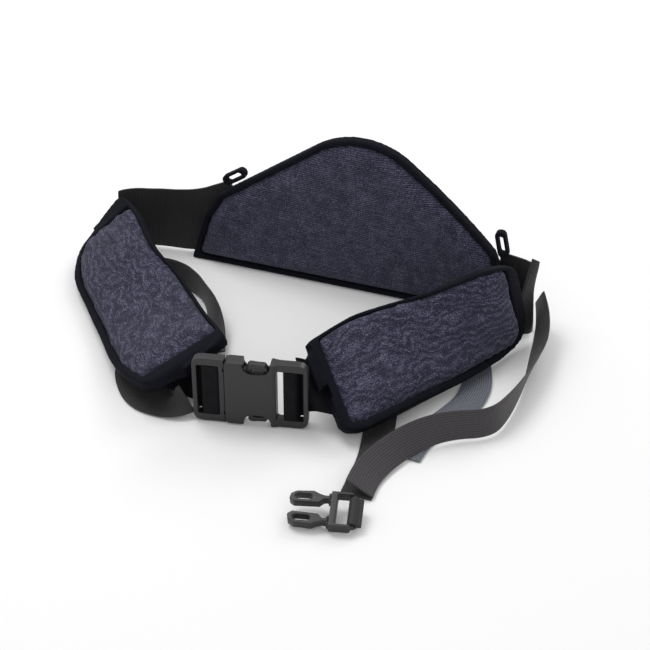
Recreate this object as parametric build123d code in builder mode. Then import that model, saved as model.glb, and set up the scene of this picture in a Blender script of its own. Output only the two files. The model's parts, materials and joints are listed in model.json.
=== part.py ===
from build123d import *
import os
from math import asin, atan2, cos, degrees, pi, radians, sin, sqrt

# Padded waist belt, closed into a ring and set down on a flat surface. Units are millimetres.
# +Z is up, the buckle is at the front (-Y), and the wearer's back is at +Y. The origin is on
# the surface, under the middle of the ring.

# ---------------------------------------------------------------- driving dimensions
FOAM_T = 5.6  # foam core of every pad
SKIN_T = 1.2  # knitted cover and lining
PAD_GAP = 0.35  # free play between the layers of a pad
BINDING_T = 10.0  # edge binding, over the thickness of the pad
BINDING_LOW = 7.0  # edge binding, across the face at a side pad's lower edge
BINDING_HIGH = 3.4  # and at its upper edge
BINDING_END = 8.0  # and at its two ends
PAD_LOW_R = 20.0  # corners of the side pads
PAD_HIGH_R = 10.0
BAND_STEP = 12.0
PAD_STEP = 9.0  # spacing of the sections that a soft part is lofted through
WEB_T = 1.6  # all webbing
MAIN_WEB_W = 47.0  # main webbing, through the big buckle
STRAP_W = 25.0  # retaining straps, through the small clips
BAND_T = 2.4  # ribbed elastic side bands

# back pad: a wall with its inner face at BACK_Y, curling forwards past BACK_BEND_X
BACK_X = 46.0
BACK_Y = 108.0
BACK_BEND_X = 103.0
BACK_BEND_R = 200.0
BACK_HALF = [(164.0, 0.0), (150.0, 47.0), (136.0, 71.0)]  # half length and height of each corner
BACK_PEAK = 168.5  # where the two slopes would meet
BACK_PEAK_R = 70.0
BACK_KNEE_R = 50.0
BACK_FOOT_R = 9.0
BACK_RIM = 5.5  # binding across the face of the back pad
BACK_SHORT = 0.9  # the curled half covers less of the wearer's back

# stations of the soft strips, each a (lower edge, upper edge) pair, listed along the strip
LEFT_PAD = [
    ((-203, 90, 20), (-179, 101, 57)),
    ((-206, 62, 10), (-152, 76, 57)),
    ((-193, 26, 7), (-121, 41, 51)),
    ((-166, -8, 6.5), (-91, 19, 46)),
    ((-136, -44, 7.5), (-63, -9, 45)),
    ((-101, -87, 13), (-38, -37, 48)),
    ((-68, -113, 23), (-17, -58, 51)),
    ((-43, -118, 28), (-6, -70, 53)),
]
RIGHT_PAD = [
    ((89, -95, 19), (55, -68, 58)),
    ((111, -98, 11), (61, -48, 57)),
    ((132, -68, 9.5), (77, -15, 58)),
    ((152, -35, 9), (95, 3, 61)),
    ((174, 5, 7), (131, 27, 70)),
    ((192, 50, 6), (171, 51, 86)),
    ((203, 83, 12), (188, 81, 76)),
]
LEFT_BAND = [
    ((-68, 119.6, 22), (-66, 119.6, 86)),
    ((-92, 119.6, 8), (-88, 119.6, 74)),
    ((-114, 119.6, 2), (-110, 119.6, 66)),
    ((-134, 117, 2), (-132, 117, 64)),
    ((-155, 114.5, 2), (-154, 114.5, 62)),
    ((-176, 113, 2), (-176, 113, 59)),
    ((-192, 109, 3), (-190, 109, 54)),
    ((-202, 102, 8), (-190, 107, 54)),
    ((-204.5, 93.4, 20), (-180.5, 104.4, 57)),
]
RIGHT_BAND = [
    ((170, 113.2, 3), (170, 113.2, 66)),
    ((188, 110, 3), (188, 110, 66)),
    ((201, 104, 3), (201, 104, 66)),
    ((206, 96, 5), (202, 95, 68)),
    ((204.5, 86.4, 12), (189.5, 84.4, 76)),
]
WEBBING_TAIL = [
    ((-26, -111, 4), (-28.5, -104, 28)),
    ((-34, -118, 1.6), (-36, -103, 20)),
    ((-50, -121, 1.2), (-44, -96, 5)),
    ((-75, -117, 1.2), (-55, -86, 5)),
    ((-95, -98, 1.2), (-68, -70, 7)),
    ((-109, -73, 1.2), (-78, -50, 8)),
    ((-110, -48, 1.2), (-77, -30, 8)),
]
LEFT_WEBBING = [
    ((-23.5, -99, 9), (-23, -98, 33)),
    ((-33, -97, 9), (-24, -78, 31)),
    ((-50, -94, 11), (-31, -65, 31)),
]
LEFT_STRAP = [
    ((-150, 50, 6), (-149, 53, 30)),
    ((-128, 61, 1), (-126, 63, 26)),
    ((-104, 58, 1), (-103, 61, 26)),
    ((-87, 52, 1), (-85, 49, 26)),
    ((-76, 42, 1), (-70, 34, 25)),
    ((-68, 26, 1), (-53, 17, 21)),
    ((-62, 6, 1), (-41, -1, 13)),
    ((-56, -14, 1), (-33, -20, 8)),
    ((-51, -31, 4), (-27, -34, 9)),
]
RETAINING_STRAP = [
    ((211, 112, 16), (213, 114, 40)),
    ((213, 99, 10), (223, 102, 32)),
    ((211, 80, 4), (226, 83, 24)),
    ((213, 62, 2), (227, 63, 23)),
    ((216, 40, 2), (227, 41, 24)),
    ((219, 14, 2), (225, 14, 26)),
    ((219, -14, 2), (221, -14, 27)),
    ((217, -36, 2), (215, -36, 27)),
    ((213, -50, 2), (210, -47, 27)),
    ((203, -59, 2), (201, -55, 26)),
    ((188, -66, 2.4), (187, -61, 26)),
    ((174, -77, 3), (170, -70, 25)),
    ((163, -92, 3), (155, -83, 23)),
    ((154, -109, 3), (143, -98, 20)),
    ((148, -127, 2.6), (133, -115, 18)),
    ((144, -146, 2.6), (127, -136, 16)),
    ((145, -162, 3), (128, -153, 14)),
]
STRAP_RETURN = [
    ((107, -50, 6), (131, -44, 6)),
    ((112, -76, 1), (137, -71, 1)),
    ((119, -104, 1), (142, -98, 1)),
    ((122, -124, 1), (144, -119, 1)),
    ((122, -142, 1), (144, -139, 1)),
    ((124, -158, 1.4), (144, -160, 1)),
]
STRAP_TAIL = [
    ((160, 34, 1), (183, 44, 1)),
    ((170, 12, 1), (194, 18, 1)),
    ((171, -14, 1), (195, -14, 1)),
    ((162, -36, 1), (185, -46, 1)),
    ((151, -58, 1), (173, -70, 1)),
    ((146, -79, 1), (166, -90, 1)),
    ((148, -98, 1), (162, -106, 1)),
]

# big side-release buckle, upright, its length along BUCKLE_TURN degrees from +X
BUCKLE_CENTRE = (24.5, -99.5, 31.0)
BUCKLE_TURN = 11.5
BUCKLE_HALF_H = 30.5
BUCKLE_SEAM = -19.5  # where the male frame meets the housing
MALE_END = -46.0
FEMALE_END = 47.0
HOUSING_HALF_T = 6.0
FRAME_HALF_T = 4.0
FRAME_CORNER_R = 7.0
CAVITY_HALF_T = 3.5
CAVITY_HALF_H = 25.5
PRONG_HALF_T = 3.1
PRONG_ROOT = (-18.6, 21.0)
PRONG_ROOT_R = 2.4
BAR_HALF_W = 2.75  # ladder bars that the webbing turns round
BAR_HALF_T = 2.2
WRAP_END = 10.5  # where the wrap round a bar joins the main webbing, from the bar
FEMALE_BAR = 32.0
MALE_BAR = -32.75
SLOT_HALF_H = 23.8

# tape loops on the back pad
TOP_LOOP_L = 25.0
TOP_LOOP_H = 9.6
TOP_LOOP_T = 2.6
TOP_LOOP_W = 6.0

# small clips on the retaining straps
CLIP_BAR_CENTRE = (141.5, -185.5, 8.8)
CLIP_TURN = 13.0
CLIP_ROLL = 15.0
CLIP_HALF_W = 15.5
CLIP_HALF_T = 4.4
CLIP_BAR_R = 2.1
CLIP_SLOT_HALF_W = 13.2
CLIP_PRONG_ROOT = (-19.5, 10.0)
CLIP_PRONG_HALF_T = 3.6
CLIP_PRONG_ROOT_R = 1.8
MATE_BAR_CENTRE = (-40.0, -43.0, 6.6)
MATE_TURN = 86.0


# ---------------------------------------------------------------- helpers
def stations_of(pairs):
    return [(Vector(*low), Vector(*high)) for low, high in pairs]


def section_frames(stations):
    """One plane per station: its X runs across the strip, its Y out of the outer face."""
    mids = [(low + high) / 2 for low, high in stations]
    frames = []
    for n, (low, high) in enumerate(stations):
        across = high - low
        along = mids[min(n + 1, len(mids) - 1)] - mids[max(n - 1, 0)]
        along = along - across * (along.dot(across) / across.dot(across))
        frames.append((Plane(origin=mids[n], x_dir=across, z_dir=along), across.length))
    return frames


def between(before, start, end, after, share):
    """A point on the smooth curve through four points, share of the way from start to end."""
    slope_in = (end - before) * 0.5
    slope_out = (after - start) * 0.5
    gap = end - start
    square = gap * 3 - slope_in * 2 - slope_out
    cube = slope_in + slope_out - gap * 2
    return start + slope_in * share + square * share**2 + cube * share**3


def refined(stations, step):
    """Stations at about every step along the smooth strip through the given ones."""
    last = len(stations) - 1
    fine = []
    for n in range(last):
        around = [stations[min(max(n + k, 0), last)] for k in (-1, 0, 1, 2)]
        length = (sum(stations[n + 1], Vector()) - sum(stations[n], Vector())).length / 2
        count = max(1, round(length / step))
        for k in range(count):
            fine.append(tuple(between(*edge, k / count) for edge in zip(*around)))
    fine.append(stations[-1])
    return fine


def corner_inset(distance, radius):
    """How far a rounded corner draws in the edge, at a distance from the strip's end."""
    short = max(radius - distance, 0.0)
    return radius - sqrt(radius**2 - short**2)


def under_pad(stations, lift, width):
    """Stations of a strip of the given width that lies lift off the pad's middle surface."""
    strip = []
    for plane, _ in section_frames(stations):
        middle = plane.origin + plane.y_dir * lift
        strip.append((middle - plane.x_dir * (width / 2), middle + plane.x_dir * (width / 2)))
    return strip


def soft_strip(stations, thickness):
    """A plain strip of webbing or elastic between two edge lines."""
    sections = []
    for plane, length in section_frames(stations):
        with BuildSketch(plane) as section:
            Rectangle(length, thickness)
        sections.append(section.sketch)
    with BuildPart() as strip:
        loft(sections)
    return strip


def save(part, name):
    part.part.label = name
    export_step(part.part, f"parts/{name}.step")


# ---------------------------------------------------------------- back pad
def curled_x(length):
    """Where a point stands in X, at a length along the back pad from its middle."""
    bend = BACK_BEND_X - BACK_X
    if length <= bend:
        return BACK_X + length
    return BACK_BEND_X + BACK_BEND_R * sin((length - bend) / BACK_BEND_R)


def back_wall(near, far):
    """Plan of a layer of the back pad, near to far behind its inner face."""
    centre = Vector(BACK_BEND_X, BACK_Y - BACK_BEND_R)
    reach = radians(32)

    def on_arc(offset, angle):
        radius = BACK_BEND_R + offset
        return centre + Vector(radius * sin(angle), radius * cos(angle))

    with BuildSketch(Plane.XY) as wall:
        with BuildLine():
            Line((BACK_X - 200, BACK_Y + near), (BACK_BEND_X, BACK_Y + near))
            ThreePointArc(on_arc(near, 0), on_arc(near, reach / 2), on_arc(near, reach))
            Line(on_arc(near, reach), on_arc(far, reach))
            ThreePointArc(on_arc(far, reach), on_arc(far, reach / 2), on_arc(far, 0))
            Line((BACK_BEND_X, BACK_Y + far), (BACK_X - 200, BACK_Y + far))
            Line((BACK_X - 200, BACK_Y + far), (BACK_X - 200, BACK_Y + near))
        make_face()
    return wall.sketch


def back_outline(inset=0.0):
    """Front view of the back pad, drawn in by inset all round."""
    left = [(BACK_X - half, z) for half, z in BACK_HALF]
    right = [(curled_x(half * BACK_SHORT), z) for half, z in reversed(BACK_HALF)]
    with BuildSketch(Plane.XZ) as outline:
        Polygon(*left, (BACK_X, BACK_PEAK), *right, align=None)
        by_height = outline.vertices().sort_by(Axis.Y)
        fillet(by_height[-1], BACK_PEAK_R)
        fillet(by_height[2:6], BACK_KNEE_R)
        fillet(by_height[:2], BACK_FOOT_R)
        if inset:
            offset(amount=-inset, mode=Mode.REPLACE)
    return outline.sketch


def back_layer(near, far, inset, hollow=None):
    with BuildPart() as layer:
        extrude(back_wall(near, far), amount=BACK_PEAK)
        extrude(back_outline(inset), amount=BACK_Y * 2, both=True, mode=Mode.INTERSECT)
        if hollow:
            extrude(back_outline(hollow), amount=BACK_Y * 2, both=True, mode=Mode.SUBTRACT)
    return layer


BACK_MIDDLE = BINDING_T / 2


def make_back_pad():
    half_foam = FOAM_T / 2
    skin_near = half_foam + PAD_GAP
    skin_far = skin_near + SKIN_T
    inset = BACK_RIM + PAD_GAP
    save(back_layer(0.0, BINDING_T, 0.0, BACK_RIM), "back_pad_binding")
    save(back_layer(BACK_MIDDLE - half_foam, BACK_MIDDLE + half_foam, inset), "back_pad_foam")
    save(back_layer(BACK_MIDDLE - skin_far, BACK_MIDDLE - skin_near, inset), "back_pad_cover")
    save(back_layer(BACK_MIDDLE + skin_near, BACK_MIDDLE + skin_far, inset), "back_pad_lining")


# ---------------------------------------------------------------- side pads
def pad_sections(fine, thickness, lift=0.0, margin=None):
    """Sections of a side pad with rounded corners, or of the field inside its binding."""
    mids = [(low + high) / 2 for low, high in fine]
    run = [0.0]
    for start, end in zip(mids, mids[1:]):
        run.append(run[-1] + (end - start).length)
    low_rim = high_rim = end_rim = 0.0
    if margin is not None:
        low_rim, high_rim, end_rim = (w + margin for w in (BINDING_LOW, BINDING_HIGH, BINDING_END))
    sections = []
    for (plane, length), at in zip(section_frames(fine), run):
        to_end = min(at, run[-1] - at) - end_rim
        if to_end < 0:
            continue
        low = low_rim + corner_inset(to_end, PAD_LOW_R - low_rim)
        high = high_rim + corner_inset(to_end, PAD_HIGH_R - high_rim)
        with BuildSketch(plane) as section:
            with Locations(((low - high) / 2, lift)):
                Rectangle(length - low - high, thickness)
        sections.append(section.sketch)
    return sections


def pad_layer(fine, thickness, lift):
    with BuildPart() as layer:
        loft(pad_sections(fine, thickness, lift, PAD_GAP))
    return layer


def make_side_pad(pairs, side):
    fine = refined(stations_of(pairs), PAD_STEP)
    skin_lift = FOAM_T / 2 + PAD_GAP + SKIN_T / 2
    with BuildPart() as binding:
        loft(pad_sections(fine, BINDING_T))
        loft(pad_sections(fine, 2 * BINDING_T, margin=0.0), mode=Mode.SUBTRACT)
    save(binding, f"{side}_pad_binding")
    save(pad_layer(fine, FOAM_T, 0.0), f"{side}_pad_foam")
    save(pad_layer(fine, SKIN_T, skin_lift), f"{side}_pad_cover")
    save(pad_layer(fine, SKIN_T, -skin_lift), f"{side}_pad_lining")


# ---------------------------------------------------------------- side bands
def make_bands():
    save(soft_strip(refined(stations_of(LEFT_BAND), BAND_STEP), BAND_T), "left_side_band")
    save(soft_strip(stations_of(RIGHT_BAND), BAND_T), "right_side_band")


# ---------------------------------------------------------------- the big buckle
def buckle_point(along, out, height=0.0):
    """A point given along the buckle, out of its face and above its middle."""
    turn = radians(BUCKLE_TURN)
    x, y, z = BUCKLE_CENTRE
    return Vector(
        x + along * cos(turn) + out * sin(turn),
        y + along * sin(turn) - out * cos(turn),
        z + height,
    )


def buckle_face():
    """Sketch plane of the buckle: X along it, Y up, Z out of its face."""
    out = buckle_point(0, 1) - buckle_point(0, 0)
    return Plane(
        origin=Vector(*BUCKLE_CENTRE), x_dir=buckle_point(1, 0) - buckle_point(0, 0), z_dir=out
    )


def buckle_plan(height):
    """Sketch plane across the buckle: X along it, Y out of its face, at a height."""
    along = buckle_point(1, 0) - buckle_point(0, 0)
    return Plane(origin=buckle_point(0, 0, height), x_dir=along, z_dir=(0, 0, -1))


def both_ways(half, mode=Mode.ADD):
    extrude(amount=half, both=True, mode=mode)


def box_between(start, end, half_height, half_thickness, mode):
    with BuildSketch(buckle_face()) as window:
        with Locations(((start + end) / 2, 0)):
            Rectangle(end - start, 2 * half_height)
    extrude(window.sketch, amount=half_thickness, both=True, mode=mode)


def ladder_slots(inner, outer, bar):
    """The two web slots of a ladder frame, either side of its bar."""
    for start, end in ((inner, bar - BAR_HALF_W), (bar + BAR_HALF_W, outer)):
        box_between(start, end, SLOT_HALF_H, 3 * HOUSING_HALF_T, Mode.SUBTRACT)
    for side in (1, -1):
        with BuildSketch(buckle_face().offset(side * (BAR_HALF_T + HOUSING_HALF_T))) as relief:
            with Locations((bar, 0)):
                Rectangle(2 * BAR_HALF_W + 1, 2 * SLOT_HALF_H)
        extrude(relief.sketch, amount=HOUSING_HALF_T, both=True, mode=Mode.SUBTRACT)


def make_female_housing():
    shoulder = 18.5
    with BuildPart() as housing:
        with BuildSketch(buckle_face()) as outline:
            with BuildLine():
                Polyline(
                    (BUCKLE_SEAM, -28.5),
                    (BUCKLE_SEAM + 2.5, -29.8),
                    (shoulder - 2, -29.8),
                    (shoulder + 3, -BUCKLE_HALF_H),
                    (FEMALE_END, -BUCKLE_HALF_H),
                    (FEMALE_END, BUCKLE_HALF_H),
                    (shoulder + 3, BUCKLE_HALF_H),
                    (shoulder - 2, 29.8),
                    (BUCKLE_SEAM + 2.5, 29.8),
                    (BUCKLE_SEAM, 28.5),
                    close=True,
                )
            make_face()
            fillet(outline.vertices().group_by(Axis.X)[-1], FRAME_CORNER_R)
        both_ways(HOUSING_HALF_T)
        # the web end is thinner than the body
        with BuildSketch(buckle_plan(0)):
            for side in (1, -1):
                with BuildLine():
                    Polyline(
                        (shoulder, side * (HOUSING_HALF_T + 1)),
                        (shoulder, side * HOUSING_HALF_T),
                        (shoulder + 5, side * FRAME_HALF_T),
                        (FEMALE_END + 1, side * FRAME_HALF_T),
                        (FEMALE_END + 1, side * (HOUSING_HALF_T + 1)),
                        close=True,
                    )
                make_face()
        both_ways(BUCKLE_HALF_H + 1, Mode.SUBTRACT)
        # cavity for the prongs, open at the seam
        box_between(BUCKLE_SEAM - 1, 17.0, CAVITY_HALF_H, CAVITY_HALF_T, Mode.SUBTRACT)
        # side windows, one over each prong's button
        with BuildSketch(buckle_face()):
            for side in (1, -1):
                with Locations((6.0, side * 30.0)):
                    RectangleRounded(22.0, 20.0, 8.0)
        both_ways(2 * HOUSING_HALF_T, Mode.SUBTRACT)
        ladder_slots(21.5, 43.2, FEMALE_BAR)
    save(housing, "buckle_female_housing")


def make_male_frame():
    base = BUCKLE_SEAM - 0.4
    with BuildPart() as frame:
        with BuildSketch(buckle_face()) as outline:
            with Locations(((MALE_END + base) / 2, 0)):
                Rectangle(base - MALE_END, 2 * BUCKLE_HALF_H)
            fillet(outline.vertices().group_by(Axis.X)[0], FRAME_CORNER_R)
        both_ways(FRAME_HALF_T)
        ladder_slots(MALE_END + 3.8, -24.4, MALE_BAR)
        # centre guide between the prongs
        with BuildSketch(buckle_face()) as guide:
            with Locations(((base + 12) / 2, 0)):
                Rectangle(12 - base, 9.0)
            fillet(guide.vertices().group_by(Axis.X)[-1], 3)
        both_ways(PRONG_HALF_T)
        # lugs that the two spring prongs grow out of
        with BuildSketch(buckle_face()):
            for side in (1, -1):
                with Locations((base + 0.9, side * PRONG_ROOT[1])):
                    Rectangle(2.6, 8.4)
        both_ways(PRONG_HALF_T)
        with BuildSketch(buckle_face()):
            for side in (1, -1):
                with Locations((PRONG_ROOT[0], side * PRONG_ROOT[1])):
                    Circle(PRONG_ROOT_R + 0.06)
                with Locations((PRONG_ROOT[0] + 3, side * PRONG_ROOT[1])):
                    Rectangle(6.0, 4.7)
        both_ways(HOUSING_HALF_T, Mode.SUBTRACT)
    save(frame, "buckle_male_frame")


def make_prong(side, name):
    root_x, root_y = PRONG_ROOT
    with BuildPart() as prong:
        with BuildSketch(buckle_face()) as outline:
            with BuildLine():
                Polyline(
                    (root_x, side * (root_y - 1.9)),
                    (14.0, side * 17.6),
                    (16.3, side * 19.0),
                    (15.8, side * 23.2),
                    (12.5, side * 27.6),
                    (0.5, side * 28.2),
                    (-1.6, side * 26.4),
                    (-1.6, side * 22.6),
                    (root_x, side * (root_y + 1.9)),
                    close=True,
                )
            make_face()
            with Locations((root_x, side * root_y)):
                Circle(PRONG_ROOT_R)
            with Locations((6.5, side * 22.2)):
                RectangleRounded(9.5, 3.2, 1.5, mode=Mode.SUBTRACT)
        both_ways(PRONG_HALF_T - 0.05)
    save(prong, name)


# ---------------------------------------------------------------- webbing of the big buckle
def bar_wrap(bar, side, reach, name):
    """Webbing that comes up through one slot, over the bar and down the other."""
    half = MAIN_WEB_W / 2
    route = [
        (bar + side * WRAP_END, -7.9),
        (bar - side * reach, -7.9),
        (bar - side * reach, 3.4),
        (bar + side * 4.2, 3.4),
        (bar + side * 5.6, 1.0),
        (bar + side * 7.4, -5.6),
        (bar + side * WRAP_END, -5.6),
    ]
    with BuildPart() as wrap:
        with BuildSketch(buckle_plan(0)):
            with BuildLine():
                FilletPolyline(*route, radius=1.2)
            trace(line_width=WEB_T)
        both_ways(half)
    save(wrap, name)


def make_main_webbing():
    lift = -(BINDING_T / 2 + WEB_T / 2 + 2.0)
    along_left = under_pad(stations_of(LEFT_PAD)[2:6], lift, MAIN_WEB_W)
    left = stations_of(LEFT_WEBBING) + along_left[::-1]
    save(soft_strip(left, WEB_T), "left_main_webbing")
    height = MAIN_WEB_W / 2
    start = buckle_point(FEMALE_BAR + WRAP_END + 0.6, -7.0)
    upright = (start - Vector(0, 0, height), start + Vector(0, 0, height))
    along_right = under_pad(stations_of(RIGHT_PAD)[:4], lift, MAIN_WEB_W)
    save(soft_strip([upright, *along_right], WEB_T), "right_main_webbing")
    save(soft_strip(stations_of(WEBBING_TAIL), WEB_T), "left_webbing_tail")


# ---------------------------------------------------------------- straps
def make_straps():
    save(soft_strip(stations_of(LEFT_STRAP), WEB_T), "left_inner_strap")
    save(soft_strip(stations_of(RETAINING_STRAP), WEB_T), "retaining_strap")
    save(soft_strip(stations_of(STRAP_RETURN), WEB_T), "retaining_strap_return")
    save(soft_strip(stations_of(STRAP_TAIL), WEB_T), "retaining_strap_tail")


# ---------------------------------------------------------------- small clips
def clip_face(centre, turn, roll):
    """Sketch plane of a small clip: origin on its strap bar, X towards the strap."""
    along = Vector(1, 0, 0).rotate(Axis.Z, turn)
    up = Vector(0, 0, 1).rotate(Axis((0, 0, 0), along), roll)
    return Plane(origin=Vector(*centre), x_dir=along, z_dir=up)


def clip_frame(face, base, half_t):
    """Strap frame of a small clip: a bar, two side arms and the base."""
    with BuildSketch(face) as outline:
        with Locations(((base - 1.0) / 2, 0)):
            Rectangle(-base - 1.0, 2 * CLIP_HALF_W)
        fillet(outline.vertices().group_by(Axis.X)[-1], 2)
        with Locations(((base + 5.0) / 2, 0)):
            Rectangle(-base - 5.0, 2 * CLIP_SLOT_HALF_W, mode=Mode.SUBTRACT)
    extrude(outline.sketch, amount=half_t, both=True)
    with BuildSketch(Plane(origin=face.origin, x_dir=face.x_dir, z_dir=face.y_dir)) as bar:
        Circle(CLIP_BAR_R)
    extrude(bar.sketch, amount=CLIP_HALF_W - 1.5, both=True)


def make_male_clip():
    face = clip_face(CLIP_BAR_CENTRE, CLIP_TURN, CLIP_ROLL)
    base = -17.5
    root_x, root_y = CLIP_PRONG_ROOT
    with BuildPart() as frame:
        clip_frame(face, base, CLIP_HALF_T)
        with BuildSketch(face):
            for side in (1, -1):
                with Locations((base - 0.6, side * root_y)):
                    Rectangle(2.6, 7.0)
        extrude(amount=CLIP_PRONG_HALF_T, both=True)
        with BuildSketch(face):
            for side in (1, -1):
                with Locations((root_x, side * root_y)):
                    Circle(CLIP_PRONG_ROOT_R + 0.06)
                with Locations((root_x - 3, side * root_y)):
                    Rectangle(6.0, 4.0)
        extrude(amount=CLIP_HALF_T + 1, both=True, mode=Mode.SUBTRACT)
    save(frame, "clip_frame")
    for side, name in ((1, "clip_prong_far"), (-1, "clip_prong_near")):
        make_clip_prong(face, side, name)


def make_clip_prong(face, side, name):
    root_x, root_y = CLIP_PRONG_ROOT
    with BuildPart() as prong:
        with BuildSketch(face) as outline:
            with BuildLine():
                Polyline(
                    (root_x, side * (root_y - 1.5)),
                    (-22.5, side * (root_y - 1.5)),
                    (-26.0, side * 5.0),
                    (-45.5, side * 4.2),
                    (-49.0, side * 7.0),
                    (-48.0, side * 11.5),
                    (-43.5, side * 14.2),
                    (-30.5, side * 15.0),
                    (-28.0, side * 13.5),
                    (-22.5, side * (root_y + 1.5)),
                    (root_x, side * (root_y + 1.5)),
                    close=True,
                )
            make_face()
            fillet(outline.vertices().filter_by(lambda v: v.X < -27), 1.2)
            with Locations((root_x, side * root_y)):
                Circle(CLIP_PRONG_ROOT_R)
            with Locations((-38.0, side * 9.4)):
                SlotOverall(13.0, 4.6, mode=Mode.SUBTRACT)
        extrude(amount=CLIP_PRONG_HALF_T - 0.05, both=True)
    save(prong, name)


def strap_loop(face, reach, name):
    """End of a strap, sewn into a loop round a clip's bar."""
    inner = CLIP_BAR_R + 0.4
    outer = inner + WEB_T
    half_w = STRAP_W / 2 - 0.3
    with BuildPart() as loop:
        with BuildSketch(Plane(origin=face.origin, x_dir=face.x_dir, z_dir=-face.y_dir)):
            Circle(outer)
            with Locations((reach / 2, 0)):
                Rectangle(reach, 2 * WEB_T)
            Circle(inner, mode=Mode.SUBTRACT)
        extrude(amount=half_w, both=True)
    save(loop, name)


def make_clip_mate():
    face = clip_face(MATE_BAR_CENTRE, MATE_TURN, 0.0)
    with BuildPart() as mate:
        clip_frame(face, -12.0, CLIP_HALF_T)
        with BuildSketch(face):
            with Locations((-23.0, 0)):
                Rectangle(24.0, 2 * CLIP_HALF_W)
            for side in (1, -1):
                with Locations((-24.0, side * CLIP_HALF_W)):
                    RectangleRounded(12.0, 7.0, 3.0, mode=Mode.SUBTRACT)
        extrude(amount=5.4, both=True)
        with BuildSketch(face):
            with Locations((-25.0, 0)):
                Rectangle(22.0, 27.0)
        extrude(amount=3.3, both=True, mode=Mode.SUBTRACT)
    save(mate, "clip_mate")


# ---------------------------------------------------------------- loops on the back pad
def make_top_loop(centre, lean, name):
    """A tape loop that stands off the sloping edge of the back pad."""
    along = Vector(1, 0, 0).rotate(Axis.Y, lean)
    with BuildPart() as loop:
        with BuildSketch(Plane(origin=Vector(*centre), x_dir=along, z_dir=(0, 1, 0))):
            RectangleRounded(TOP_LOOP_L, TOP_LOOP_H, TOP_LOOP_H / 2 - 0.4)
            hole = TOP_LOOP_H - 2 * TOP_LOOP_T
            RectangleRounded(TOP_LOOP_L - 9, hole, hole / 2 - 0.1, mode=Mode.SUBTRACT)
        extrude(amount=TOP_LOOP_W / 2, both=True)
    save(loop, name)


def main():
    os.makedirs("parts", exist_ok=True)
    make_back_pad()
    make_side_pad(LEFT_PAD, "left")
    make_side_pad(RIGHT_PAD, "right")
    make_bands()
    make_female_housing()
    make_male_frame()
    make_prong(1, "buckle_prong_upper")
    make_prong(-1, "buckle_prong_lower")
    bar_wrap(MALE_BAR, -1, 7.2, "left_bar_webbing")
    bar_wrap(FEMALE_BAR, 1, 4.1, "right_bar_webbing")
    make_main_webbing()
    make_straps()
    make_male_clip()
    make_clip_mate()
    clip = clip_face(CLIP_BAR_CENTRE, CLIP_TURN, CLIP_ROLL)
    strap_loop(clip, 7.0, "clip_strap_loop")
    mate = clip_face(MATE_BAR_CENTRE, MATE_TURN, 0.0)
    strap_loop(mate, 9.0, "mate_strap_loop")
    make_top_loop((-74.0, 113.0, 92.0), -34.0, "left_top_loop")
    make_top_loop((173.5, 101.0, 82.0), 78.0, "right_top_loop")


main()
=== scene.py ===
import json
import math

import bpy
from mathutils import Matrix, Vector, noise


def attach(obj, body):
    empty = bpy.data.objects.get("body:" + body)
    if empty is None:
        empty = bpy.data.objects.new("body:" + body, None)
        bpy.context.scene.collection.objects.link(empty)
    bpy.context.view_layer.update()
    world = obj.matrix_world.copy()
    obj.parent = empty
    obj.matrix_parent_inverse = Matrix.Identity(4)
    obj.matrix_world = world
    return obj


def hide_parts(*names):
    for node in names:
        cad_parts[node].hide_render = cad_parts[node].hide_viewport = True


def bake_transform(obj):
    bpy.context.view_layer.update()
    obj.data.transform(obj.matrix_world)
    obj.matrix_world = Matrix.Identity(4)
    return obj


# Looks of the padded waist belt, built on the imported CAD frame. Units are metres.

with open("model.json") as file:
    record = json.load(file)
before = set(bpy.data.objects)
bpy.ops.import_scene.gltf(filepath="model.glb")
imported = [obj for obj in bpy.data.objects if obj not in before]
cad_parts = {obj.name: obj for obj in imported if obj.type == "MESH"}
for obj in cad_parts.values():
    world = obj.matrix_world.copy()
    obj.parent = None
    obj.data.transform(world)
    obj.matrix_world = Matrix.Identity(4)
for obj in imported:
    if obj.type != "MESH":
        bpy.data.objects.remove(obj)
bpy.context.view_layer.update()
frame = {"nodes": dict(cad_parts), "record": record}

MM = 0.001
WEB_T = 0.0016
SEAM_TUCK = 0.0012  # added outwards at every point of a pad, so that its rim meets its binding
PAD_VOXEL = 0.004
PAD_SWELL = 0.0035
BINDING_VOXEL = 0.0014
CLOTH_FRAMES = 20
STRAP_W = 0.025

# Edges of the soft strips, in millimetres: (lower edge, upper edge) along each strip.
RETAINING_STRAP = [
    ((207, 108, 18), (208, 110, 43)),
    ((211, 97, 12), (216, 99, 33)),
    ((212, 80, 5), (223, 83, 26)),
    ((213, 62, 2), (227, 63, 23)),
    ((216, 40, 2), (227, 41, 24)),
    ((219, 14, 2), (225, 14, 26)),
    ((219, -14, 2), (221, -14, 27)),
    ((217, -36, 2), (215, -36, 27)),
    ((213, -50, 2), (210, -47, 27)),
    ((203, -59, 2), (201, -55, 26)),
    ((188, -66, 2.4), (187, -61, 26)),
    ((174, -77, 3), (170, -70, 25)),
    ((163, -92, 3), (155, -83, 23)),
    ((154, -109, 3), (143, -98, 20)),
    ((148, -127, 2.6), (133, -115, 18)),
    ((144, -146, 2.6), (127, -136, 16)),
    ((145, -162, 3), (128, -153, 14)),
]
STRAP_RETURN = [
    ((107, -50, 6), (131, -44, 6)),
    ((112, -76, 1), (137, -71, 1)),
    ((119, -104, 1), (142, -98, 1)),
    ((122, -124, 1), (144, -119, 1)),
    ((122, -142, 1), (144, -139, 1)),
    ((124, -158, 1.4), (144, -160, 1)),
]
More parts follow.
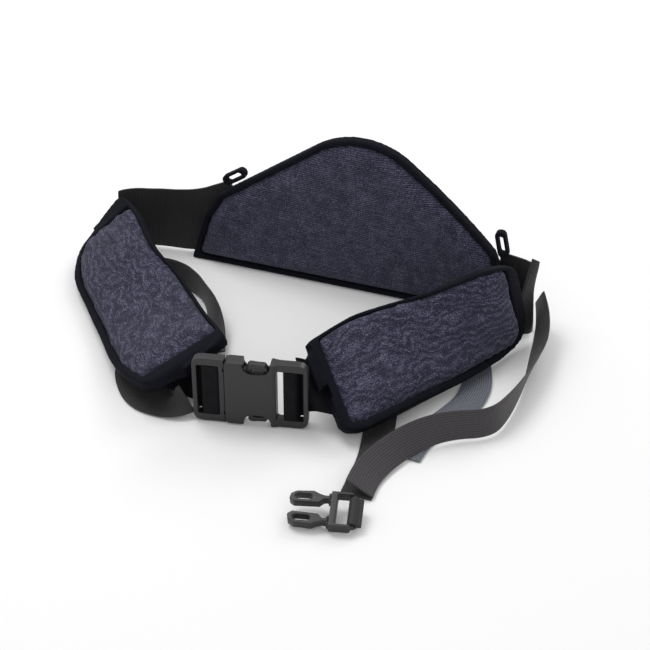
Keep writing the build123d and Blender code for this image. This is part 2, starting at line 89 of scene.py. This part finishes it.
STRAP_TAIL = [
    ((160, 34, 1), (183, 44, 1)),
    ((170, 12, 1), (194, 18, 1)),
    ((171, -14, 1), (195, -14, 1)),
    ((162, -36, 1), (185, -46, 1)),
    ((151, -58, 1), (173, -70, 1)),
    ((146, -79, 1), (166, -90, 1)),
    ((148, -98, 1), (162, -106, 1)),
]
LEFT_STRAP = [
    ((-150, 50, 6), (-149, 53, 30)),
    ((-128, 61, 1), (-126, 63, 26)),
    ((-104, 58, 1), (-103, 61, 26)),
    ((-87, 52, 1), (-85, 49, 26)),
    ((-76, 42, 1), (-70, 34, 25)),
    ((-68, 26, 1), (-53, 17, 21)),
    ((-62, 6, 1), (-41, -1, 13)),
    ((-56, -14, 1), (-33, -20, 8)),
    ((-51, -31, 4), (-27, -34, 9)),
]
WEBBING_TAIL = [
    ((-26, -111, 4), (-28.5, -104, 28)),
    ((-34, -118, 1.6), (-36, -103, 20)),
    ((-50, -121, 1.2), (-44, -96, 5)),
    ((-75, -117, 1.2), (-55, -86, 5)),
    ((-95, -98, 1.2), (-68, -70, 7)),
    ((-109, -73, 1.2), (-78, -50, 8)),
    ((-110, -48, 1.2), (-77, -30, 8)),
]
LEFT_BAND = [
    ((-68, 119.6, 22), (-66, 119.6, 86)),
    ((-92, 119.6, 8), (-88, 119.6, 74)),
    ((-114, 119.6, 2), (-110, 119.6, 66)),
    ((-134, 117, 2), (-132, 117, 64)),
    ((-155, 114.5, 2), (-154, 114.5, 62)),
    ((-176, 113, 2), (-176, 113, 59)),
    ((-192, 109, 3), (-190, 109, 54)),
    ((-202, 102, 8), (-190, 107, 54)),
    ((-204.5, 93.4, 20), (-180.5, 104.4, 57)),
]
RIGHT_BAND = [
    ((170, 113.2, 3), (170, 113.2, 66)),
    ((188, 110, 3), (188, 110, 66)),
    ((201, 104, 3), (201, 104, 66)),
    ((206, 96, 5), (202, 95, 68)),
    ((204.5, 86.4, 12), (189.5, 84.4, 76)),
]


# ---------------------------------------------------------------- camera and strips
def add_camera():
    azimuth, elevation, distance = math.radians(20), math.radians(35), 1.5
    target = Vector((0.034, 0.048, 0.0))
    back = Vector(
        (
            math.sin(azimuth) * math.cos(elevation),
            -math.cos(azimuth) * math.cos(elevation),
            math.sin(elevation),
        )
    )
    data = bpy.data.cameras.new("camera")
    data.lens = 95.8
    camera = bpy.data.objects.new("camera", data)
    camera.location = target + back * distance
    camera.rotation_euler = back.to_track_quat("Z", "Y").to_euler()
    bpy.context.collection.objects.link(camera)
    bpy.context.scene.camera = camera


def spline_points(points):
    """Points along the smooth spline that has these as its control points."""
    data = bpy.data.curves.new("route", "CURVE")
    data.dimensions = "3D"
    spline = data.splines.new("NURBS")
    spline.points.add(len(points) - 1)
    for knot, point in zip(spline.points, points):
        knot.co = (*(Vector(point) * MM), 1)
    spline.order_u = 3
    spline.use_endpoint_u = True
    spline.resolution_u = 10
    route = bpy.data.objects.new("route", data)
    bpy.context.collection.objects.link(route)
    mesh = bpy.data.meshes.new_from_object(route)
    line = [vertex.co.copy() for vertex in mesh.vertices]
    bpy.data.objects.remove(route)
    bpy.data.meshes.remove(mesh)
    return line


def new_object(name, mesh):
    piece = bpy.data.objects.new(name, mesh)
    bpy.context.collection.objects.link(piece)
    return piece


def grid_mesh(name, rings, lengths, offsets, closed=True):
    """A closed strip of rings, with its length and width in metres as UVs."""
    count = len(rings[0])
    points = [point for ring in rings for point in ring]
    faces = []
    for row in range(len(rings) - 1):
        for n in range(count):
            nxt = (n + 1) % count
            low, high = row * count, (row + 1) * count
            faces.append((low + n, low + nxt, high + nxt, high + n))
    faces.append(tuple(range(count))[::-1])
    faces.append(tuple(range((len(rings) - 1) * count, len(rings) * count)))
    mesh = bpy.data.meshes.new(name)
    mesh.from_pydata(points, [], faces)
    layer = mesh.uv_layers.new(name="strip")
    for loop in mesh.loops:
        row, n = divmod(loop.vertex_index, count)
        layer.data[loop.index].uv = (lengths[row], offsets[n])
    mesh.shade_smooth()
    mesh.set_sharp_from_angle(angle=math.radians(50))
    return mesh


def strip(name, edges, width, thickness, ripple=0.0):
    """A flat strip of webbing between two edge lines, and the line that it follows."""
    low = spline_points([pair[0] for pair in edges])
    high = spline_points([pair[1] for pair in edges])
    line = [(a + b) / 2 for a, b in zip(low, high)]
    half, edge = thickness / 2, thickness * 0.3
    lengths = [0.0]
    for a, b in zip(line, line[1:]):
        lengths.append(lengths[-1] + (b - a).length)
    rings = []
    steps = 10
    for n, middle in enumerate(line):
        along = (line[min(n + 1, len(line) - 1)] - line[max(n - 1, 0)]).normalized()
        across = high[n] - low[n]
        wide = width or across.length
        across = (across - along * across.dot(along)).normalized()
        out = along.cross(across).normalized()
        ring = []
        offsets = []
        for side in (1, -1):
            for k in range(steps + 1):
                share = side * (k / steps - 0.5)
                rim = half if 0 < k < steps else edge
                wave = ripple * noise.noise(Vector((lengths[n] * 45, share * 2, 0)))
                offsets.append(share * wide)
                ring.append(middle + across * share * wide + out * (side * rim + wave))
        rings.append(ring)
    return new_object(name, grid_mesh(name, rings, lengths, offsets)), line


def make_strips():
    made = {}
    jobs = (
        ("retaining_strap", RETAINING_STRAP, STRAP_W, WEB_T, 0.0),
        ("retaining_strap_return", STRAP_RETURN, STRAP_W, WEB_T, 0.0004),
        ("retaining_strap_tail", STRAP_TAIL, STRAP_W, WEB_T, 0.0),
        ("left_inner_strap", LEFT_STRAP, STRAP_W, WEB_T, 0.0004),
        ("left_webbing_tail", WEBBING_TAIL, None, WEB_T, 0.0008),
        ("left_side_band", LEFT_BAND, None, 0.0024, 0.0012),
        ("right_side_band", RIGHT_BAND, None, 0.0024, 0.0008),
    )
    for name, edges, width, thickness, ripple in jobs:
        made[name] = strip(name + "_woven", edges, width, thickness, ripple)
        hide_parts(name)
    return made


add_camera()
strips = make_strips()


# ---------------------------------------------------------------- materials
def base_material(name, color, roughness, sheen=0.0, specular=0.5):
    material = bpy.data.materials.new(name)
    material.use_nodes = True
    shader = material.node_tree.nodes["Principled BSDF"]
    shader.inputs["Base Color"].default_value = (*color, 1)
    shader.inputs["Roughness"].default_value = roughness
    shader.inputs["Sheen Weight"].default_value = sheen
    shader.inputs["Sheen Roughness"].default_value = 0.5
    shader.inputs["Specular IOR Level"].default_value = specular
    return material, material.node_tree, shader


def node(tree, kind, **inputs):
    made = tree.nodes.new(kind)
    for key, value in inputs.items():
        made.inputs[key.replace("_", " ")].default_value = value
    return made


def ramp(tree, source, stops):
    made = tree.nodes.new("ShaderNodeValToRGB")
    while len(made.color_ramp.elements) < len(stops):
        made.color_ramp.elements.new(0.5)
    for element, (at, color) in zip(made.color_ramp.elements, stops):
        element.position = at
        element.color = (*color, 1)
    tree.links.new(source, made.inputs["Fac"])
    return made.outputs["Color"]


def math_node(tree, operation, a, b=0.5):
    made = tree.nodes.new("ShaderNodeMath")
    made.operation = operation
    for socket, value in zip(made.inputs, (a, b)):
        if isinstance(value, (int, float)):
            socket.default_value = value
        else:
            tree.links.new(value, socket)
    return made.outputs["Value"]


def bump(tree, shader, height, distance, strength=1.0, below=None):
    made = tree.nodes.new("ShaderNodeBump")
    made.inputs["Strength"].default_value = strength
    made.inputs["Distance"].default_value = distance
    tree.links.new(height, made.inputs["Height"])
    if below:
        tree.links.new(below, made.inputs["Normal"])
    tree.links.new(made.outputs["Normal"], shader.inputs["Normal"])
    return made.outputs["Normal"]


def coordinates(tree, which, scale=(1, 1, 1)):
    source = tree.nodes.new("ShaderNodeTexCoord")
    mapping = tree.nodes.new("ShaderNodeMapping")
    mapping.inputs["Scale"].default_value = scale
    tree.links.new(source.outputs[which], mapping.inputs["Vector"])
    return mapping.outputs["Vector"]


def noise_texture(tree, vector, scale, detail=2.0, roughness=0.5):
    made = node(tree, "ShaderNodeTexNoise", Scale=scale, Detail=detail, Roughness=roughness)
    tree.links.new(vector, made.inputs["Vector"])
    return made.outputs["Fac"]


def wave_texture(tree, vector, scale, direction, distortion=0.0, detail_scale=1.0):
    made = node(
        tree, "ShaderNodeTexWave", Scale=scale, Distortion=distortion, Detail_Scale=detail_scale
    )
    made.bands_direction = direction
    tree.links.new(vector, made.inputs["Vector"])
    return made.outputs["Fac"]


def knit_material(name, ribs, swirl, ripple, tone=0.0):
    """Navy knit with lilac-grey flecks. Swirl is how far its ribs wander, ripple how strong its
    swirls are, tone how much lighter it is."""
    material, tree, shader = base_material(name, (0.03, 0.03, 0.06), 0.9, sheen=0.06, specular=0.15)
    place = coordinates(tree, "Object")
    rows = wave_texture(tree, place, ribs, "Z", swirl, 1.5)
    ripples = wave_texture(tree, place, 62.0, "Z", swirl * 1.6, 0.8)
    flecks = noise_texture(tree, place, 1000.0, 2.0, 0.7)
    patches = noise_texture(tree, place, 110.0, 4.0, 0.6)
    mixed = math_node(tree, "ADD", math_node(tree, "MULTIPLY", rows, 0.16), flecks)
    mixed = math_node(tree, "ADD", mixed, math_node(tree, "MULTIPLY", ripples, ripple))
    mixed = math_node(tree, "ADD", mixed, math_node(tree, "MULTIPLY", patches, 0.3))
    mixed = math_node(tree, "ADD", math_node(tree, "MULTIPLY", mixed, 0.8), tone)
    stops = (
        (0.48, (0.012, 0.012, 0.023)),
        (0.66, (0.03, 0.03, 0.055)),
        (0.84, (0.13, 0.13, 0.19)),
    )
    tree.links.new(ramp(tree, mixed, stops), shader.inputs["Base Color"])
    bump(tree, shader, mixed, 0.0009, 0.8)
    return material


def woven_material(name, dark, light, along, across, roughness=0.6, sheen=0.1):
    """Webbing: ribs across and along the strip, read from its own length and width."""
    material, tree, shader = base_material(name, dark, roughness, sheen=sheen, specular=0.35)
    place = coordinates(tree, "UV")
    picks = wave_texture(tree, place, along, "X")
    columns = wave_texture(tree, place, across, "Y")
    fuzz = noise_texture(tree, place, 700.0, 3.0, 0.6)
    height = math_node(tree, "ADD", math_node(tree, "MULTIPLY", picks, 0.5), columns)
    toned = math_node(tree, "ADD", math_node(tree, "MULTIPLY", height, 0.5), fuzz)
    tree.links.new(ramp(tree, toned, ((0.45, dark), (1.0, light))), shader.inputs["Base Color"])
    bump(tree, shader, height, 0.0004, 0.6)
    return material


def tape_material(name, dark, light):
    material, tree, shader = base_material(name, dark, 0.85, sheen=0.0, specular=0.12)
    place = coordinates(tree, "Object")
    weave = noise_texture(tree, place, 1300.0, 2.0, 0.6)
    folds = noise_texture(tree, place, 90.0, 3.0, 0.5)
    fine = math_node(tree, "MULTIPLY", weave, 0.6)
    mixed = math_node(tree, "ADD", fine, math_node(tree, "MULTIPLY", folds, 0.5))
    tree.links.new(ramp(tree, mixed, ((0.35, dark), (0.8, light))), shader.inputs["Base Color"])
    bump(tree, shader, mixed, 0.0005, 0.6)
    return material


def plastic_material(name, color, roughness):
    """Moulded plastic with a fine spark-eroded grain and faint scuffs."""
    material, tree, shader = base_material(name, color, roughness, specular=0.5)
    place = coordinates(tree, "Object")
    grain = noise_texture(tree, place, 2600.0, 2.0, 0.6)
    scuffs = noise_texture(tree, place, 60.0, 5.0, 0.65)
    bright = tuple(c * 1.35 for c in color)
    tree.links.new(ramp(tree, scuffs, ((0.35, color), (0.75, bright))), shader.inputs["Base Color"])
    low = math_node(tree, "MULTIPLY", scuffs, 0.25)
    tree.links.new(math_node(tree, "ADD", low, roughness - 0.12), shader.inputs["Roughness"])
    bump(tree, shader, grain, 0.00012, 0.5)
    return material


MATERIALS = {
    "navy_knit": knit_material("navy_knit_side", 260.0, 9.0, 0.13),
    "navy_knit_back": knit_material("navy_knit_back", 170.0, 0.8, 0.02, 0.07),
    "lining_knit": tape_material("lining_knit", (0.01, 0.01, 0.015), (0.03, 0.03, 0.04)),
    "foam_core": tape_material("foam_core", (0.06, 0.06, 0.065), (0.13, 0.13, 0.14)),
    "binding_tape": tape_material("binding_tape", (0.0015, 0.0018, 0.004), (0.006, 0.0065, 0.012)),
    "plain_webbing": tape_material("plain_webbing", (0.003, 0.003, 0.004), (0.01, 0.01, 0.012)),
    "elastic_band": woven_material(
        "elastic_band", (0.002, 0.002, 0.003), (0.012, 0.012, 0.014), 100.0, 2.0
    ),
    "main_webbing": woven_material(
        "main_webbing", (0.003, 0.003, 0.0035), (0.014, 0.014, 0.016), 320.0, 150.0
    ),
    "strap_webbing": woven_material(
        "strap_webbing", (0.01, 0.009, 0.01), (0.045, 0.04, 0.045), 320.0, 150.0
    ),
    # A lighter copy of strap_webbing: painted light, for webbing that lies flat in the light.
    "strap_webbing_lit": woven_material(
        "strap_webbing_lit", (0.03, 0.033, 0.042), (0.14, 0.15, 0.18), 300.0, 170.0
    ),
    "buckle_plastic": plastic_material("buckle_plastic", (0.011, 0.01, 0.011), 0.4),
}
SLOTS = {part["node"]: part["material_slot"] for part in frame["record"]["subparts"]}


# Painted light and shade: the same webbing gets a lighter copy, painted light, on the tail where it
# lies flat in the light, and the black main webbing, painted shade, on the return where it stands in
# shade.
PAINTED_LIGHT_STRIP_MATERIALS = {
    "retaining_strap_tail": "strap_webbing_lit",
    "retaining_strap_return": "main_webbing",
}


def paint(piece, slot, material=None):
    piece.data.materials.clear()
    piece.data.materials.append(MATERIALS[material or slot])


# ---------------------------------------------------------------- pieces made from CAD meshes
def joined_copy(name, sources):
    """One new mesh with the shapes of the named CAD nodes."""
    points, faces = [], []
    for source in sources:
        mesh = frame["nodes"][source].data
        start = len(points)
        points += [vertex.co.copy() for vertex in mesh.vertices]
        faces += [tuple(start + n for n in polygon.vertices) for polygon in mesh.polygons]
    mesh = bpy.data.meshes.new(name)
    mesh.from_pydata(points, [], faces)
    return new_object(name, mesh)


def apply_modifiers(piece):
    bpy.context.view_layer.update()
    graph = bpy.context.evaluated_depsgraph_get()
    mesh = bpy.data.meshes.new_from_object(piece.evaluated_get(graph))
    old = piece.data
    piece.modifiers.clear()
    piece.data = mesh
    bpy.data.meshes.remove(old)


def remesh(piece, voxel, smooth=0, factor=0.5):
    modifier = piece.modifiers.new("remesh", "REMESH")
    modifier.mode = "VOXEL"
    modifier.voxel_size = voxel
    if smooth:
        modifier = piece.modifiers.new("smooth", "SMOOTH")
        modifier.iterations = smooth
        modifier.factor = factor
    apply_modifiers(piece)
    piece.data.shade_smooth()


def inflate(piece, cap, pressure=4.0):
    """Cloth simulation: the pad swells as stuffed fabric does, and no point moves past cap.
    Only the outward part of each simulated move is kept, and SEAM_TUCK is added to it."""
    start = [(vertex.co.copy(), vertex.normal.copy()) for vertex in piece.data.vertices]
    modifier = piece.modifiers.new("cloth", "CLOTH")
    settings = modifier.settings
    settings.use_pressure = True
    settings.uniform_pressure_force = pressure
    settings.effector_weights.gravity = 0.0
    settings.quality = 5
    modifier.point_cache.frame_start = 1
    modifier.point_cache.frame_end = CLOTH_FRAMES
    for number in range(1, CLOTH_FRAMES + 1):
        bpy.context.scene.frame_set(number)
    apply_modifiers(piece)
    bpy.context.scene.frame_set(1)
    for vertex, (home, out) in zip(piece.data.vertices, start):
        swell = max(0.0, (vertex.co - home).dot(out)) + SEAM_TUCK
        vertex.co = home + out * min(swell, cap)


def make_pad(side, body):
    layers = [f"{side}_pad_{layer}" for layer in ("cover", "foam", "lining")]
    pad = joined_copy(f"{side}_pad_stuffed", layers)
    remesh(pad, PAD_VOXEL)
    inflate(pad, PAD_SWELL)
    modifier = pad.modifiers.new("finer", "SUBSURF")
    modifier.levels = 1
    apply_modifiers(pad)
    pad.data.shade_smooth()
    paint(pad, "navy_knit", "navy_knit_back" if side == "back" else None)
    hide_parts(*layers)
    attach(pad, body)
    binding = joined_copy(f"{side}_pad_bound_edge", [f"{side}_pad_binding"])
    remesh(binding, BINDING_VOXEL, 9)
    paint(binding, "binding_tape")
    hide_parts(f"{side}_pad_binding")
    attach(binding, body)


def make_moulded(source, body, voxel=0.0005, smooth=3):
    """A moulded copy of a CAD piece, its edges rounded as a mould leaves them."""
    piece = joined_copy(f"{source}_moulded", [source])
    remesh(piece, voxel, smooth)
    paint(piece, SLOTS[source])
    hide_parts(source)
    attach(piece, body)
    return piece


def body_of(name):
    return next(body for body, nodes in frame["record"]["behaviour"]["bodies"].items() if name in nodes)


for side in ("back", "left", "right"):
    make_pad(side, body_of(f"{side}_pad_foam"))

MOULDED = (
    "buckle_female_housing",
    "buckle_male_frame",
    "buckle_prong_upper",
    "buckle_prong_lower",
    "clip_frame",
    "clip_prong_far",
    "clip_prong_near",
    "clip_mate",
)
moulded = {name: make_moulded(name, body_of(name)) for name in MOULDED}

for name, (piece, line) in strips.items():
    paint(piece, SLOTS[name], PAINTED_LIGHT_STRIP_MATERIALS.get(name))
    if name != "left_side_band":
        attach(piece, body_of(name))

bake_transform(strips["left_side_band"][0])

for name in ("left_top_loop", "right_top_loop", "clip_strap_loop", "mate_strap_loop"):
    piece = joined_copy(f"{name}_tape", [name])
    remesh(piece, 0.0005, 4)
    paint(piece, SLOTS[name])
    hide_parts(name)
    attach(piece, body_of(name))

for name in ("left_main_webbing", "right_main_webbing", "left_bar_webbing", "right_bar_webbing"):
    carried = frame["nodes"][name]
    carried.data.materials.clear()
    carried.data.materials.append(MATERIALS["plain_webbing"])


# ---------------------------------------------------------------- floor and light
def add_stage():
    bpy.ops.mesh.primitive_plane_add(size=12, location=(0, 0, -0.0005))
    floor = bpy.context.object
    floor.name = "floor"
    material, tree, shader = base_material("floor", (0.82, 0.82, 0.82), 0.9, specular=0.1)
    floor.data.materials.append(material)
    world = bpy.context.scene.world or bpy.data.worlds.new("world")
    bpy.context.scene.world = world
    world.use_nodes = True
    world.node_tree.nodes["Background"].inputs["Color"].default_value = (1, 1, 1, 1)
    world.node_tree.nodes["Background"].inputs["Strength"].default_value = 0.72


def add_light(name, place, size, power):
    data = bpy.data.lights.new(name, "AREA")
    data.size = size
    data.energy = power
    lamp = bpy.data.objects.new(name, data)
    lamp.location = place
    lamp.rotation_euler = Vector(place).to_track_quat("Z", "Y").to_euler()
    bpy.context.collection.objects.link(lamp)


add_stage()
add_light("key", (-0.7, 0.2, 1.6), 0.9, 14)
add_light("fill", (1.2, -1.2, 1.0), 1.5, 5)
add_light("rim", (0.4, 1.4, 1.1), 0.8, 7)
bpy.context.scene.view_settings.view_transform = "Standard"
